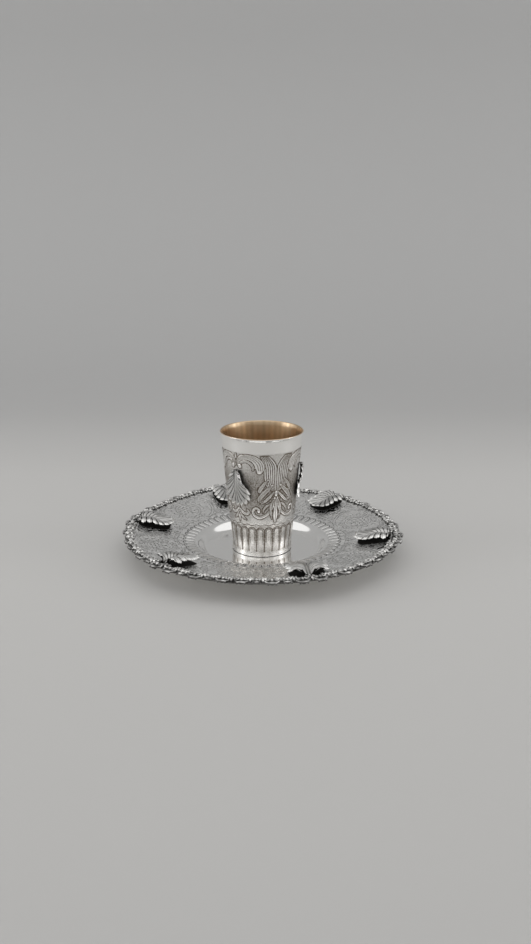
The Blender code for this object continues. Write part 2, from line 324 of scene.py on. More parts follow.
def silver(name, bright, dark, roughness, mat_roughness, grain, grain_size, curls=None):
    """Silver whose hollows are darkened by age. The attribute hollow mixes bright metal into dark, and
    roughens it; besides tarnish it carries painted shade and painted reflection in some places. A fine
    noise gives the matting, and a broad one makes the polish uneven. Where curls (their size and count)
    are given, curling lines are cut and blackened too."""
    material = bpy.data.materials.new(name)
    material.use_nodes = True
    tree = material.node_tree
    place = add_node(tree, "TexCoord", {}).outputs["Object"]
    hollow = add_node(tree, "Attribute", {}, attribute_name="hollow").outputs["Fac"]
    cloud = noise(tree, place, 90, 3)
    stipple = noise(tree, place, 1 / grain_size, 2)
    stain = maths(tree, "MULTIPLY_ADD", cloud, 0.3, hollow)
    matting = maths(tree, "MULTIPLY_ADD", hollow, grain, 0.1 * grain)
    speck = maths(tree, "MULTIPLY_ADD", stipple, 1.4, -0.7)
    darkened = maths(tree, "MULTIPLY_ADD", speck, matting, stain)
    roughened = stain
    pits = {"Strength": matting, "Distance": 0.1 * MM, "Height": stipple}
    normal = add_node(tree, "Bump", pits).outputs["Normal"]
    if curls:
        lines = curling_lines(tree, *curls)
        darkened = roughened = maths(tree, "MULTIPLY_ADD", lines, 0.3, darkened)
        grooves = {"Strength": 0.7, "Distance": 0.12 * MM, "Height": lines, "Normal": normal}
        normal = add_node(tree, "Bump", grooves, invert=True).outputs["Normal"]
    finish = {
        "Metallic": 1,
        "Base Color": mixed(tree, ramp(tree, darkened, 0.2, 1.1, 0, 1), (*bright, 1), (*dark, 1)),
        "Roughness": ramp(tree, roughened, 0.2, 0.9, roughness, mat_roughness),
        "Normal": normal,
    }
    fill(tree, tree.nodes["Principled BSDF"], finish)
    return material


def plate_profile(radius):
    """The plate's height: flat in the well, a rounded step, then a straight slope to the edge."""
    slope = (plate_top - STEP_TOP) / (plate_edge - STEP_TOP_RADIUS)
    step = smooth((radius - WELL_RADIUS + 0.8 * MM) / (STEP_TOP_RADIUS - WELL_RADIUS + 1.2 * MM))
    rise = STEP_TOP + slope * (radius - STEP_TOP_RADIUS)
    return WELL_FLOOR + (rise - WELL_FLOOR) * step


def field_lines():
    """The engraving of half a bay, from its middle to a leaf: a shield of fish scales in a collar of small
    curls, a band about it with volutes at its foot and head, and stems with springing curls between it
    and the leaf. x runs round the saucer from the bay's middle, y outwards from the axis. Millimetres."""
    shield = np.array([0, SHIELD_RADIUS])
    drawn = [volute(shield, size, size, -90, 180) for size in (7.6, 9.4)]
    for row in range(6):
        for column in range(3):
            middle = (3.2 * column + 1.6 * (row % 2), 66.2 + 2.5 * row)
            if math.hypot(*(middle - shield)) < 6.4:
                drawn.append(volute(middle, 1.6, 1.6, 0, 180, 10))
    for number in range(8):
        turn = -80 + 22.5 * number
        out = np.array([math.cos(math.radians(turn)), math.sin(math.radians(turn))])
        drawn.append(volute(shield + 11.2 * out, 1.7, 1.2, turn - 120, 250, 12))
    band = flow(
        [(1.5, 57.6), (9.6, 59.0), (16.2, 64.0), (19.2, 71.0), (18.0, 78.4), (12.6, 84.0), (5.0, 86.0)]
    )
    drawn += [
        band,
        beside(band, -2.0),
        volute((4.6, 60.6), 2.3, 0.5, 250, -420),
        volute((4.6, 83.4), 2.6, 0.5, 110, 420),
        volute((21.6, 61.4), 2.6, 0.6, 180, -450),
        volute((23.6, 82.6), 2.8, 0.6, 180, 450),
    ]
    stems = (
        ([(22.4, 65.0), (26.0, 68.6), (25.4, 73.4), (22.4, 77.6)], 4, 2.6),
        ([(24.4, 79.2), (27.4, 81.6), (28.0, 85.6)], 3, 2.2),
        ([(2.0, 57.6), (10.0, 57.2), (18.0, 58.4), (26.0, 57.4), (37.0, 57.8)], 8, 1.6),
        ([(27.6, 62.0), (31.6, 61.2), (35.0, 62.8)], 3, 1.8),
        ([(12.0, 87.0), (17.0, 85.4), (20.4, 87.0)], 2, 1.6),
    )
    for points, count, size in stems:
        stem = flow(points)
        drawn += [stem, *springing(stem, count, size)]
    return [line * MM for line in drawn]


well_radii = np.concatenate([[12, 24, 33, 37], np.linspace(38.2, 45.0, 13)]) * MM
fluted_radii = np.linspace(FLUTE_INNER, FLUTE_OUTER, 19)
sloping_radii = np.linspace(FLUTE_OUTER + 0.46 * MM, plate_edge - 0.3 * MM, 72)
field_radii = np.concatenate([fluted_radii, sloping_radii])
radius_at, azimuth_at = np.meshgrid(
    field_radii, np.linspace(0, 2 * math.pi, FIELD_COLUMNS, endpoint=False), indexing="ij"
)
round_bay = np.abs((azimuth_at - first_leaf) % bay - bay / 2) * DRAWN_RADIUS
cut = engraved(round_bay, radius_at, field_lines(), ENGRAVED_WIDTH)
flute_half = math.pi / FLUTES * radius_at
flute_aside = np.abs((azimuth_at * FLUTES / (2 * math.pi)) % 1 - 0.5) * 2 * flute_half
within = petal(flute_aside, radius_at, flute_half, FLUTE_SPRING, 0.1 * MM)
petals = smooth((radius_at - FLUTE_INNER) / (1.6 * MM)) * (radius_at < FLUTE_OUTER + 0.4 * MM)
petal_lines = petals * np.maximum(groove(within, 0.42 * MM), 0.9 * groove(within - 1.25 * MM, 0.36 * MM))
swelling_up = petals * smooth(within / (0.9 * MM))
relief = FLUTE_RISE * swelling_up - FLUTE_LINE_DEPTH * petal_lines - ENGRAVED_DEPTH * cut

edge_line = np.array([plate_edge, plate_top]) - np.array([(0.05, 0.1), (0.0, 0.35), (0.1, 0.6)]) * MM
under_line = np.array(
    [(87, 14.3), (70, 11.3), (55, 8.7), (46.5, 7.0), (44.2, 5.2), (41.6, 2.4), (40.7, 1.2), (40.5, 0.0),
     (38.6, 0.0), (38.3, 0.3), (37.9, 1.3), (20, 1.3)]
) * MM
well = turned(well_radii[:, None], plate_profile(well_radii)[:, None], PLAIN_COLUMNS)
field = turned(radius_at, plate_profile(radius_at) + relief, FIELD_COLUMNS)
edge = turned_line(edge_line, FIELD_COLUMNS)
under = turned_line(under_line, PLAIN_COLUMNS)
plate_points = np.vstack([[[0, 0, WELL_FLOOR]], well, field, edge, under, [[0, 0, under_line[-1, 1]]]])
bend_up(plate_points)
first_field = 1 + len(well)
first_under = first_field + len(field) + len(edge)
last = len(plate_points) - 1
ratio = FIELD_COLUMNS // PLAIN_COLUMNS
plate_faces = [
    pole_faces(PLAIN_COLUMNS, 1, 0, True),
    ring_faces(len(well_radii), PLAIN_COLUMNS, 1),
    graded_faces(PLAIN_COLUMNS, ratio, first_field - PLAIN_COLUMNS, first_field, True),
    ring_faces(len(field_radii) + len(edge_line), FIELD_COLUMNS, first_field),
    graded_faces(PLAIN_COLUMNS, ratio, first_under - FIELD_COLUMNS, first_under, False),
    ring_faces(len(under_line), PLAIN_COLUMNS, first_under),
    pole_faces(PLAIN_COLUMNS, last - PLAIN_COLUMNS, last, False),
]

# Painted shadow: the field is painted black where a leaf stands over it, in a rounded oblong of nearly
# the leaf's length and width.
painted_leaf_shadow = np.zeros_like(radius_at)
for azimuth, lean, breadth in SAUCER_LEAVES:
    turn, lean = azimuth_at - math.radians(azimuth), math.radians(lean)
    inward, aside = SAUCER_LEAF_ROOT - radius_at * np.cos(turn), radius_at * np.sin(turn)
    along = (inward * math.cos(lean) - aside * math.sin(lean)) / SAUCER_LEAF_LENGTH
    across = (aside * math.cos(lean) + inward * math.sin(lean)) / (SAUCER_LEAF_HALF_WIDTH * breadth)
    inside = 0.97 - (np.abs(2 * along - 0.86) / 0.94) ** 4 - np.abs(across / 0.88) ** 4
    painted_leaf_shadow = np.maximum(painted_leaf_shadow, smooth(inside / 0.25) * (np.cos(turn) > 0))
# The field darkens with tarnish in its engraved lines and flute outlines, and with the painted shadow under
# the leaves.
field_tarnish_and_shadow = np.maximum(0.64 * np.maximum(1.4 * petal_lines, cut), 1.2 * painted_leaf_shadow)
plate_tarnish_and_shadow = np.concatenate(
    [
        np.zeros(first_field),
        field_tarnish_and_shadow.ravel(),
        np.full(len(edge), 0.4),
        np.full(len(under) + 1, 0.15),
    ]
)
plate_silver = silver(
    "engraved_silver", (0.985, 0.98, 0.97), (0.03, 0.028, 0.025), 0.12, 0.8, 0.3, 0.5 * MM, curls=(6, 4)
)
plate = make_piece("saucer_plate_surface", plate_points, plate_faces, [plate_silver], plate_tarnish_and_shadow)
drawing = np.zeros((len(plate_points), 3), np.float32)
shown = smooth((radius_at - CURLS_FROM) / MM) * (1 - cut) * (1 - painted_leaf_shadow)
flat_places = np.stack([round_bay / MM, radius_at / MM, shown], -1)
drawing[first_field : first_field + len(field)] = flat_places.reshape(-1, 3)
plate.data.attributes.new("drawing", "FLOAT_VECTOR", "POINT").data.foreach_set("vector", drawing.ravel())
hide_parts("saucer_plate")
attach(plate, "root")


# ---------------------------------------------------------------------------------------------------
# The saucer's border
# Cast in lengths of silver and soldered round the plate's edge: small C-scrolls with their ends curled
# in, leaflets inside and outside them, and a fan of leaflets between each two. The rails that show in the
# gaps are painted dark as shade, and the castings darken underneath and towards their foot, partly with
# tarnish and partly as painted shade.

SCROLL_STEPS = 20
EDGE_RADIUS = 92  # millimetres: the border is drawn flat, and bent round this radius
RAIL_STEPS = 241
RAILS = ((89.4, 0.7, 0.62), (90.8, 0.65, 0.62), (92.2, 0.6, 0.58))  # radius, height, thickness

border_low, border_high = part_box("saucer_border")
border_foot = border_low.z
border_crest = border_high.z - BEND_RISE


def tube(line, radii, channel=0.0, sides=9):
    """A closed tube along a line in space: rings square to it, of these radii, with a point at each end
    and a channel along its top. Returns its points, its faces, and how dark each point is: tarnish in the
    channel, and darker low on the sides and underneath, partly tarnish and partly painted shade."""
    along = np.gradient(line, axis=0)
    along /= np.linalg.norm(along, axis=1)[:, None]
    level = np.cross(along, [0, 0, 1.0])
    level /= np.maximum(np.linalg.norm(level, axis=1)[:, None], 1e-9)
    upward = np.cross(level, along)
    turn = np.linspace(0, 2 * math.pi, sides, endpoint=False) + math.pi / 2
    fluting = 1 - channel * groove(np.minimum(turn, 3 * math.pi - turn) - math.pi / 2, 0.3)
    rings = line[:, None] + (radii[:, None] * fluting)[:, :, None] * (
        np.cos(turn)[None, :, None] * level[:, None] + np.sin(turn)[None, :, None] * upward[:, None]
    )
    points = np.vstack([line[:1], rings.reshape(-1, 3), line[-1:]])
    # Darker on the sides and underneath, only the top kept bright: partly tarnish, partly painted shade.
    deep = np.tile(smooth(0.72 - 0.9 * np.sin(turn)) + 1.6 * (1 - fluting), len(line))
    faces = [
        pole_faces(sides, 1, 0, True),
        ring_faces(len(line), sides, 1),
        pole_faces(sides, 1 + (len(line) - 1) * sides, len(points) - 1, False),
    ]
    return points, faces, np.concatenate([[0.3], deep, [0.3]])


def scroll(start, end, base, bulge, curl):
    """A flat C along the edge from start to end, bulging outwards from its base, each end curled in."""
    middle, half = (start + end) / 2, (end - start) / 2
    back = volute((0, 0), 1, 1, 0, 180, SCROLL_STEPS) * [half, bulge] + [middle, base]
    right = volute((end - curl, base), curl, curl * 0.35, 0, -360, SCROLL_STEPS // 2)
    left = [2 * middle, 0] + right * [-1, 1]
    return np.vstack([right[::-1], back[1:-1], left])


def swelling(count, ends, middle, beads):
    """Radii of a tube: these at its ends, growing to the middle one, with beads along its back."""
    share = np.linspace(0, 1, count)
    beading = 1 + 0.28 * np.sin(math.pi * beads * share)
    return (ends + (middle - ends) * np.sin(math.pi * share) ** 1.2) * beading


def drop(hinge, turn, length, thick, bend):
    """A leaflet or one rib of a shell: a tapered tube from its hinge outwards, in millimetres."""
    share = np.linspace(0, 1, 7)
    angle = np.radians(turn) + bend * share
    line = np.array(hinge) + length * share[:, None] * np.stack([np.sin(angle), np.cos(angle)], -1)
    return line, thick * (0.4 + 0.8 * np.sin(math.pi * share**1.5) ** 0.8)


def half_bay_castings():
    """The castings from a leaf's root (0) to the middle of a bay (48), each as a flat line (millimetres
    along the edge, millimetres from the axis), its radii, its height above the border's foot at both ends,
    how much its middle rises, and its channel."""
    found = []
    scrolls = (
        (1.6, 9.8, 91.6, 3.9),
        (12.2, 17.4, 90.6, 2.7),
        (19.8, 28.4, 90.8, 3.4),
        (30.8, 35.8, 90.0, 2.5),
        (38.2, 46.6, 90.3, 3.1),
    )
    for start, end, base, bulge in scrolls:
        middle = (start + end) / 2
        line = scroll(start, end, base, bulge, 1.5)
        found.append((line, swelling(len(line), 0.5, 0.95, 9), 2.4, -0.9, 0.35))
        found.append((*drop((middle, base - 1.6), 0, 3.0, 0.8, 0), 1.5, 0.9, 0.0))
        for side in (-1, 1):
            inner = drop((middle + side * 1.2, base - 1.9), 52 * side, 2.3, 0.62, -0.6 * side)
            outer = drop((middle + side * 1.9, base + bulge * 0.86), 28 * side, 1.3, 0.62, 0)
            found += [(*inner, 1.5, 0.6, 0.0), (*outer, 1.5, -0.5, 0.0)]
    for place, reach in ((0, 4.6), (11.0, 3.1), (18.6, 2.6), (29.6, 3.0), (37.0, 2.4), (48.2, 3.0)):
        for side in (-1, 0, 1):
            length = reach * (1 - 0.22 * abs(side))
            rib = drop((place + 0.5 * side, 90.2), 26 * side, length, 0.72, 0.3 * side)
            found.append((*rib, 1.8, 1.2, 0.0))
        found.append((*drop((place, 89.8), 180, 1.5, 0.8, 0), 1.9, 0.4, 0.0))
        for side in (-1, 1):
            leaflet = drop((place + 0.9 * side, 89.2), 75 * side, 2.4, 0.6, 1.2 * side)
            found.append((*leaflet, 1.8, 0.4, 0.0))
    return found


half_bay = half_bay_castings()
border_parts = []
for leaf in range(len(SAUCER_LEAVES)):
    for side in (-1, 1):
        for line, radii, lift, arch, channel in half_bay:
            angle = first_leaf + bay * leaf + side * line[:, 0] / EDGE_RADIUS
            radius = line[:, 1] * MM
            height = border_foot + (lift + arch * np.sin(math.pi * np.linspace(0, 1, len(line)))) * MM
            path = np.stack([radius * np.cos(angle), radius * np.sin(angle), height], -1)
            border_parts.append(tube(path, radii * MM, channel, 9 if len(line) > 7 else 7))
turn = np.linspace(0, 2 * math.pi, RAIL_STEPS)
for radius, lift, thick in RAILS:
    height = np.full(RAIL_STEPS, border_foot + lift * MM)
    path = np.stack([radius * MM * np.cos(turn), radius * MM * np.sin(turn), height], -1)
    border_parts.append(tube(path, np.full(RAIL_STEPS, thick * MM)))

border_points = np.vstack([points for points, _, _ in border_parts])
offsets = np.cumsum([0] + [len(points) for points, _, _ in border_parts])
border_faces = [group + offset for offset, (_, groups, _) in zip(offsets, border_parts) for group in groups]
border_height = (border_points[:, 2] - border_foot) / (border_crest - border_foot)
border_radius = np.hypot(*border_points[:, :2].T)
border_turn = np.arctan2(border_points[:, 1], border_points[:, 0])
border_tarnish_and_shade = np.concatenate([deep for _, _, deep in border_parts])
# Painted shade: the rails are made black, so the gaps read dark, and everything darkens towards the
# border's foot, with some tarnish; the inner and outer faces are kept lighter, and the tone wavers round.
border_tarnish_and_shade[offsets[-1 - len(RAILS)] :] = 1
border_tarnish_and_shade += 1.2 * (1 - smooth(border_height * 1.25))
inner_side = smooth((89.9 * MM - border_radius) / (0.8 * MM))
outer_side = smooth((border_radius - 92.6 * MM) / (1.2 * MM))
border_tarnish_and_shade *= 1 - 0.55 * inner_side - 0.4 * outer_side
border_tarnish_and_shade += 0.22 + 0.2 * np.sin(61 * border_turn + 2 * np.sin(17 * border_turn))
border_tarnish_and_shade = np.clip(border_tarnish_and_shade + 0.15 * np.sin(143 * border_turn), 0, 0.82)
bend_up(border_points)
cast_silver = silver("cast_silver", (0.89, 0.885, 0.87), (0.03, 0.028, 0.025), 0.26, 0.5, 0.3, 0.7 * MM)
border = make_piece("saucer_border_casting", border_points, border_faces, [cast_silver], border_tarnish_and_shade)
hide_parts("saucer_border")
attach(border, "root")


# ---------------------------------------------------------------------------------------------------
# The leaves
# Nine acanthus leaves, each cast in one piece and filed at its edges. Veins run down from the root and
# curve out to eight and a half lobes a side. The saucer's six are hollow shells that stand over the field,
# arched behind on each side of the stem; the cup's three hang with their wings off the wall.

LEAF_ROWS = 171
LEAF_COLUMNS = 57
LOBES = 8.5
LEAF_WALL = 0.7 * MM
GAP = 0.3 * MM
# Half a leaf's edge from its root to its tip, as shares of its half width and its length: the saucer's
# leaves are broad and blunt, and the cup's are fans.
BROAD_EDGE = (
    (0.13, 0.0), (0.52, 0.0), (0.86, 0.03), (1.0, 0.12), (1.0, 0.3), (1.0, 0.46),
    (0.99, 0.62), (0.93, 0.76), (0.80, 0.88), (0.52, 0.96), (0.24, 0.99), (0.0, 1.0),
)
FAN_EDGE = (
    (0.13, 0.0), (0.34, 0.05), (0.48, 0.18), (0.56, 0.32), (0.74, 0.42), (0.94, 0.52),
    (1.0, 0.64), (0.98, 0.76), (0.86, 0.87), (0.58, 0.95), (0.28, 0.99), (0.0, 1.0),
)
# How high a wing's arch stands from the stem (0) to the edge (1), as shares of the most.
WING_ARCH = ((0, 0), (0.25, 0.8), (0.5, 1), (0.75, 0.85), (1, 0.35))
SAUCER_LEAF_LIFT = 2.3 * MM
SAUCER_LEAF_ARCH = 4.2 * MM
SLOPE_FOOT = 9.5 * MM  # the field's height where the flutes end


def leaf_sheet(outline, length, half_width, lift, arch):
    """The face of a leaf with its root at the origin and its tip towards +Y, and how deep each point lies.
    Its rows are veins from the root to the tip, each a curve that leaves the midrib lengthways and turns
    out to its place on the edge; its columns run from the left edge over the midrib to the right. The
    leaf lifts off its root, and each wing arches up beside the stem and sinks towards the tip."""
    edge = evenly(flow(np.array(outline) * [half_width, length]), LEAF_ROWS)
    across = np.linspace(-1, 1, LEAF_COLUMNS)
    across = np.sign(across) * np.abs(across) ** 0.9
    vein, out = np.meshgrid(np.linspace(0, 1, LEAF_ROWS), np.abs(across), indexing="ij")
    lobe = np.abs(np.sin(math.pi * LOBES * vein))
    fine = np.abs(np.sin(3 * math.pi * LOBES * vein))
    reach = 1 - (0.22 * (1 - lobe**0.6) + 0.05 * (1 - fine)) * smooth(out / 0.7)
    start = length * (0.01 + 0.5 * vein**1.6)
    bend = start + 0.62 * (edge[:, None, 1] - start)
    share = out * reach
    x = 2 * share * (1 - share) * 0.3 * edge[:, None, 0] + share**2 * edge[:, None, 0]
    y = (1 - share) ** 2 * start + 2 * share * (1 - share) * bend + share**2 * edge[:, None, 1]
    wing, along = x / half_width, y / length
    raised = smooth(along / 0.12 + wing / 0.3) * (1 - 0.75 * smooth((along - 0.1) / 0.6))
    height = GAP + lift * smooth(along / 0.45) + arch * raised * np.interp(wing, *np.transpose(WING_ARCH))
    spread = smooth(out * 2.6 + 0.1)
    veins = spread * (0.65 * (lobe**0.6 - 0.6) + 0.34 * (fine**0.7 - 0.6))
    midrib = 0.4 * groove(x, 0.6 * MM) * smooth(1.25 - along)
    ruffle = 0.8 * (lobe - 0.6) * smooth((out - 0.6) / 0.4) - 0.5 * smooth((out - 0.85) / 0.15)
    height += LEAF_WALL + (veins + midrib + ruffle) * MM
    ridge = 0.6 * lobe**0.6 + 0.4 * fine**0.7
    beside_midrib = groove(x - 0.9 * MM, 0.35 * MM) * smooth(0.9 - along)
    deep = np.maximum(spread * np.clip(1.7 - 2.1 * ridge, 0, 1), 0.55 * beside_midrib)
    bright_edge = smooth((out - 0.86) / 0.1)
    hollow = np.clip(0.3 + 1.2 * deep, 0, 1) * (1 - 0.8 * bright_edge)
    return np.stack([np.sign(across) * x, y, height], -1), hollow


def sheet_faces(rows, columns):
    """Quads of an open grid, facing the side from which rows run up and columns run left to right."""
    row = np.arange(rows - 1)[:, None] * columns
    column = np.arange(columns - 1)
    corners = (row + column, row + column + 1, row + columns + column + 1, row + columns + column)
    return np.stack(corners, -1).reshape(-1, 4)


def leaf_solid(shape, deep, wall):
    """The leaf as a closed shell: the shaped grid, the same grid a wall lower, and a rim between them."""
    rows, columns = shape.shape[:2]
    step_row, step_column = np.gradient(shape, axis=0), np.gradient(shape, axis=1)
    normal = np.cross(step_column, step_row)
    normal /= np.maximum(np.linalg.norm(normal, axis=-1, keepdims=True), 1e-12)
    out = np.abs(np.linspace(-1, 1, columns))[None, :, None]
    under = shape - normal * wall * (0.5 + 0.5 * np.sqrt(1 - out**6))
    points = np.vstack([shape.reshape(-1, 3), under.reshape(-1, 3)])
    top = sheet_faces(rows, columns)
    count = rows * columns
    loop = np.concatenate(
        [
            np.arange(columns - 1),
            np.arange(rows - 1) * columns + columns - 1,
            (rows - 1) * columns + np.arange(columns - 1, 0, -1),
            np.arange(rows - 1, 0, -1) * columns,
        ]
    )
    after = np.roll(loop, -1)
    rim = np.stack([loop, loop + count, after + count, after], -1)
    # The undersides are made dark: partly tarnish, partly painted shade for the dark space under each leaf.
    hollow = np.concatenate([deep.ravel(), np.full(count, 1.3)])
    return points, [top, top[:, ::-1] + count, rim], hollow


def make_leaf(node, place, shape, deep):
    """One leaf in the place of its solid. place holds its root, and the directions of its width, its
    length and its back."""
    points, faces, hollow = leaf_solid(shape, deep, LEAF_WALL)
    root, directions = place
    leaf = make_piece(node + "_casting", root + points @ directions, faces, [cast_silver], hollow)
    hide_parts(node)
    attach(leaf, "root")


def leaf_place(azimuth, root, tip, facing):
    """Root and directions of a leaf from root to tip, each (radius, height), at an azimuth."""
    outward = np.array([math.cos(azimuth), math.sin(azimuth), 0])
    upward = np.array([0, 0, 1.0])
    start = outward * root[0] + upward * root[1]
    along = outward * tip[0] + upward * tip[1] - start
    along /= np.linalg.norm(along)
    sideways = np.cross(along, facing)
    sideways /= np.linalg.norm(sideways)
    return start, np.stack([sideways, along, np.cross(sideways, along)])


for number, (azimuth, lean, breadth) in enumerate(SAUCER_LEAVES, 1):
    shape, deep = leaf_sheet(
        BROAD_EDGE, SAUCER_LEAF_LENGTH, SAUCER_LEAF_HALF_WIDTH * breadth, SAUCER_LEAF_LIFT, SAUCER_LEAF_ARCH
    )
    turn, lean = math.radians(azimuth), math.radians(lean)
    ends = np.array([SAUCER_LEAF_ROOT, SAUCER_LEAF_ROOT - SAUCER_LEAF_LENGTH])
    levels = np.interp(ends, (FLUTE_OUTER, BEND_SPAN[1]), (SLOPE_FOOT, plate_top)) + bent_up(turn, ends)
    root, directions = leaf_place(turn, (ends[0], levels[0]), (ends[1], levels[1]), (0, 0, 1))
    leaning = [[math.cos(lean), math.sin(lean), 0], [-math.sin(lean), math.cos(lean), 0], [0, 0, 1]]
    make_leaf(f"saucer_leaf_{number}", (root, np.array(leaning) @ directions), shape, deep)


# ---------------------------------------------------------------------------------------------------
# The cup
# Raised from one sheet: tongues driven up round its foot, a plain shoulder, scrolls chased in three
# bays over a matted ground, and a plain polished mouth. Inside it is gilt and worn to a satin.

CUP_COLUMNS = 480
TONGUES = 24
TONGUE_TURN = math.radians(5)
TONGUE_SPRING = 18.4 * MM
TONGUE_END = 22.6 * MM
WAVE_LEVEL = 22.9 * MM
CHASED_FROM = 22.5 * MM
CHASED_TO = 73.2 * MM
RING_LEVEL = 73.4 * MM
HALF_BAY = 25.5 * MM
MATTED_DEPTH = 0.12 * MM
CHASED_DEPTH = 0.16 * MM
CUP_LEAF_AZIMUTHS = (230, 356, 473)
CUP_LEAF_TOP = 61 * MM
CUP_LEAF_BOTTOM = 36.5 * MM
CUP_LEAF_HALF_WIDTH = 11.2 * MM
CUP_LEAF_LIFT = 0.7 * MM
CUP_LEAF_ARCH = 1.6 * MM

cup_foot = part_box("cup_beaker")[0].z

# The wall from foot to lip: heights above the foot, and radii, in millimetres.
WALL_PROFILE = (
    (0.0, 20.3), (0.5, 20.6), (1.2, 20.5), (1.7, 20.15), (2.2, 20.35), (2.7, 20.05), (3.4, 19.9),
    (19.6, 21.45), (21.6, 21.8), (23.5, 22.2), (25.5, 22.55), (79.2, 27.2), (80.8, 27.45), (82.4, 28.05),
)


def wall_radius(height):
    """The cup's radius, before its relief, at a height above its foot."""
    levels, radii = np.array(WALL_PROFILE).T * MM
    return np.interp(height, levels, radii)


def blurred(heights, rows, columns):
    """A height field averaged over a window of so many rows and columns each way, closed round."""
    summed = np.zeros_like(heights)
    for shift in range(-columns, columns + 1):
        summed += np.roll(heights, shift, axis=1)
    summed /= 2 * columns + 1
    padded = np.pad(summed, ((rows, rows), (0, 0)), mode="edge")
    total = np.zeros_like(heights)
    for shift in range(2 * rows + 1):
        total += padded[shift : shift + len(heights)]
    return total / (2 * rows + 1)


class Chasing:
    """Relief built up over a ground of points: ribbons laid one over another, each with a groove cut round
    it. A later ribbon hides what it crosses."""

    def __init__(self, x, y):
        self.x, self.y = x, y
        self.raised = np.zeros(x.shape)
        self.cut = np.zeros(x.shape)

    def ribbon(self, points, half_widths, height, lines=()):
        """A flat ribbon of this height through these points, in millimetres, with its half width given at
        even steps. lines are grooves along it, as shares of the half width from its middle."""
        half_widths = np.asarray(half_widths) * MM
        line = flow(np.array(points) * MM)
        distance, side, along = from_line(self.x, self.y, line, half_widths.max() + 1.2 * MM)
        half = np.interp(along, np.linspace(0, 1, len(half_widths)), half_widths)
        inside = smooth((half - distance) / (0.5 * MM) + 0.4)
        crown = 0.7 + 0.3 * np.sqrt(np.clip(1 - (distance / half) ** 2, 0, 1))
        self.raised = np.maximum(self.raised * (1 - inside), height * MM * inside * crown)
        outline = groove(distance - half - 0.08 * MM, 0.3 * MM)
        for place in lines:
            inner = groove(side * distance - place * half, 0.26 * MM)
            outline = np.maximum(outline, 0.85 * inner * (along > 0.04) * (along < 0.96))
        self.cut = np.maximum(self.cut * (1 - inside), outline)


def chase_bay(x, y):
    """The chasing of one half bay: x from the bay's middle towards the cast leaf, y up the wall."""
    work = Chasing(x, y)
    # A plume of six ribs that fan out upwards beside the bay's middle.
    for order in reversed(range(6)):
        line = [
            (5.4 + 0.85 * order, 71.4),
            (3.0 + 1.05 * order, 68.3),
            (1.1 + 1.27 * order, 64.5),
            (0.7 + 1.3 * order, 59.0),
            (0.65 + 1.2 * order, 54.0),
            (0.6 + 0.9 * order, 49.0),
            (0.5 + 0.5 * order, 44.0 + 0.9 * order),
        ]
        work.ribbon(line, (0.35, 0.55, 0.62, 0.62, 0.6, 0.45, 0.3), 0.2)
    # Two fronds across it with curled tips, and two small leaves below them.
    work.ribbon(
        [(5.2, 55.5), (7.6, 52.6), (9.6, 49.6), (10.6, 47.6), (9.9, 46.5), (8.7, 47.2)],
        (0.5, 1.0, 1.25, 1.1, 0.7, 0.5), 0.26, (-0.3, 0.3),
    )
    work.ribbon(
        [(2.6, 51.5), (5.6, 48.2), (8.6, 45.0), (10.8, 41.8), (10.4, 40.0), (8.9, 40.5)],
        (0.6, 1.3, 1.5, 1.25, 0.85, 0.5), 0.28, (-0.4, 0, 0.4),
    )
    work.ribbon([(1.4, 46.5), (4.4, 43.0), (7.2, 40.2), (9.4, 38.6)], (0.5, 1.0, 0.9, 0.35), 0.26, (0,))
    work.ribbon([(3.4, 38.6), (6.0, 36.8), (8.0, 34.4), (8.5, 32.0)], (0.4, 0.85, 0.75, 0.35), 0.22, (0,))
    # The long lower scroll, and the leaf, spear and boss in the bay's middle.
    work.ribbon(
        [(0.9, 42.5), (1.6, 38.0), (3.2, 33.8), (6.6, 30.2), (10.6, 28.6), (14.0, 30.0), (15.1, 32.8),
         (13.6, 35.2), (11.5, 34.6), (11.3, 32.9)],
        (0.7, 0.9, 1.0, 1.0, 1.0, 0.95, 0.9, 0.85, 0.8, 1.1), 0.34, (0.2,),
    )
    work.ribbon([(1.7, 41.0), (3.3, 36.6), (3.2, 31.6), (2.3, 27.4)], (0.4, 0.85, 0.8, 0.3), 0.24, (0,))
    work.ribbon([(0.0, 42.0), (0.0, 36.0), (0.0, 30.0), (0.0, 23.6)], (0.5, 1.0, 1.8, 0.35), 0.34, (0,))
    work.ribbon([(0.0, 46.2), (0.0, 44.4)], (1.1, 1.1), 0.45)
    # The broad upper scroll, the ribbon inside it, the boss at its end and the drop over the cast leaf.
    work.ribbon(
        [(24.2, 64.6), (23.9, 67.6), (21.8, 69.9), (18.2, 70.6), (14.2, 69.6), (11.3, 66.8), (10.3, 63.4),
         (10.6, 61.0)],
        (1.0, 1.3, 1.6, 1.8, 2.2, 2.8, 2.9, 1.7), 0.28, (-0.6, -0.15, 0.35),
    )
    work.ribbon(
        [(22.6, 64.3), (22.0, 66.4), (20.0, 67.6), (17.4, 67.3), (15.2, 65.6), (14.2, 63.2), (14.6, 61.8)],
        (0.5, 0.75, 0.85, 0.9, 0.9, 0.8, 0.4), 0.26, (0,),
    )
    work.ribbon([(22.9, 64.2), (22.9, 63.6)], (1.3, 1.3), 0.34)
    work.ribbon([(25.5, 73.0), (25.5, 69.6)], (0.3, 0.8), 0.24)
    # Under the cast leaf a spear, with a small scroll and a leaf at its side.
    work.ribbon([(25.5, 36.0), (25.5, 30.0), (25.5, 24.6)], (0.6, 1.5, 0.35), 0.3, (0,))
    work.ribbon(
        [(25.0, 34.0), (22.6, 31.4), (19.6, 30.6), (18.0, 32.2), (19.2, 33.6)],
        (0.6, 1.0, 1.0, 0.8, 0.6), 0.28, (0,),
    )
    work.ribbon([(24.6, 31.0), (22.6, 28.0), (20.2, 26.6)], (0.6, 1.0, 0.4), 0.26, (0,))
    return work.raised, work.cut


